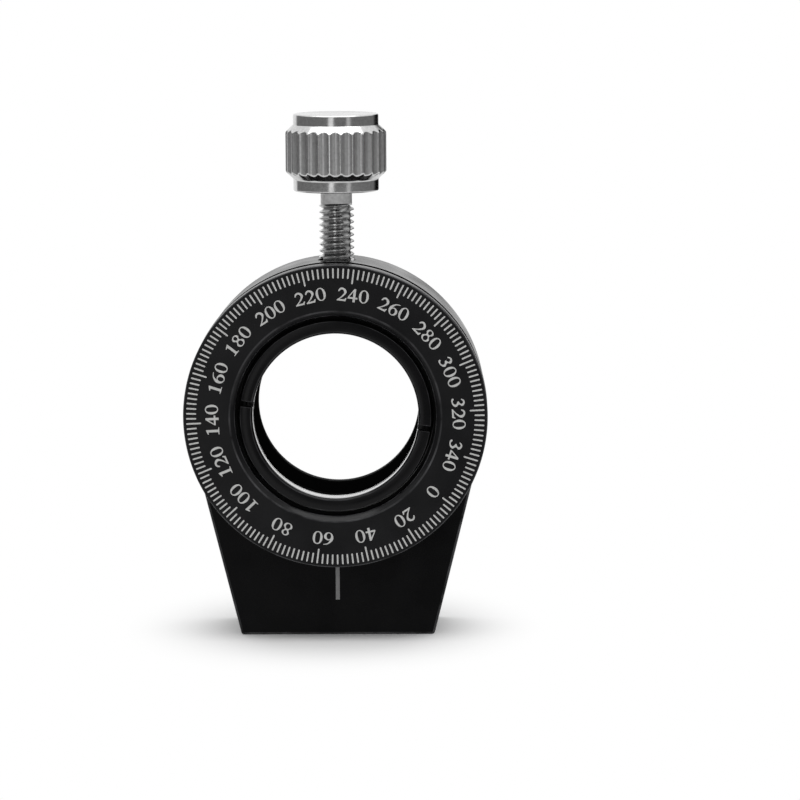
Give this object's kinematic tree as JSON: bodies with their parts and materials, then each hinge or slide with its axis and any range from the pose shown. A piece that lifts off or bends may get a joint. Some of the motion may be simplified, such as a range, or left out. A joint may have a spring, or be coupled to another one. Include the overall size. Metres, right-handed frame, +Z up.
{
  "type": "optical rotation mount",
  "caption": "Post-mounted rotation mount for a half-inch round optic: graduated turning cell with a threaded bore and retaining ring, locked by a fluted thumbscrew on top.",
  "frame": {"origin": "centre of the post hole's mouth in the base", "axes": "+Z up from the post to the thumbscrew, the optical axis along Y at 15.8 mm, the dial faces -Y, +X to the right seen from the dial side"},
  "size_m": [0.021, 0.0098, 0.0364],
  "materials": {
    "black_anodised": "satin black anodised",
    "dial_black": "satin black anodised, turned",
    "ring_black": "black anodised, turned",
    "mark_white": "matt white engraving fill",
    "washer_white": "white low-friction plastic",
    "spring_steel": "bright spring steel",
    "nylon": "natural nylon",
    "stainless": "turned bright steel"
  },
  "bodies": {
    "housing": {"housing": "black_anodised", "index_fill": "mark_white", "front_washer": "washer_white", "rear_washer": "washer_white"},
    "cell": {"rotation_cell": "dial_black", "scale_fill": "mark_white", "wave_spring": "spring_steel", "lock_ring": "ring_black"},
    "ring": {"retaining_ring": "ring_black"},
    "pellet": {"brake_pellet": "nylon"},
    "screw": {"thumbscrew": "stainless"}
  },
  "joints": [
    {"name": "dial_rotation", "type": "hinge", "parent": "housing", "child": "cell", "pos_m": [0, 0, 0.0158], "axis": [0, -1, 0], "continuous": true},
    {"name": "ring_release", "type": "slide", "parent": "cell", "child": "ring", "axis": [0, -1, 0], "range_m": [0, 0.012]},
    {"name": "screw_advance", "type": "slide", "parent": "housing", "child": "pellet", "axis": [0, 0, 1], "range_m": [0, 0.0009]},
    {"name": "screw_turn", "type": "hinge", "parent": "pellet", "child": "screw", "pos_m": [0, 0, 0.031], "axis": [0, 0, 1], "range_deg": [0, 720]}
  ],
  "couplings": [
    {"joint": "screw_turn", "follows": "screw_advance", "rad_per_m": 13963}
  ]
}
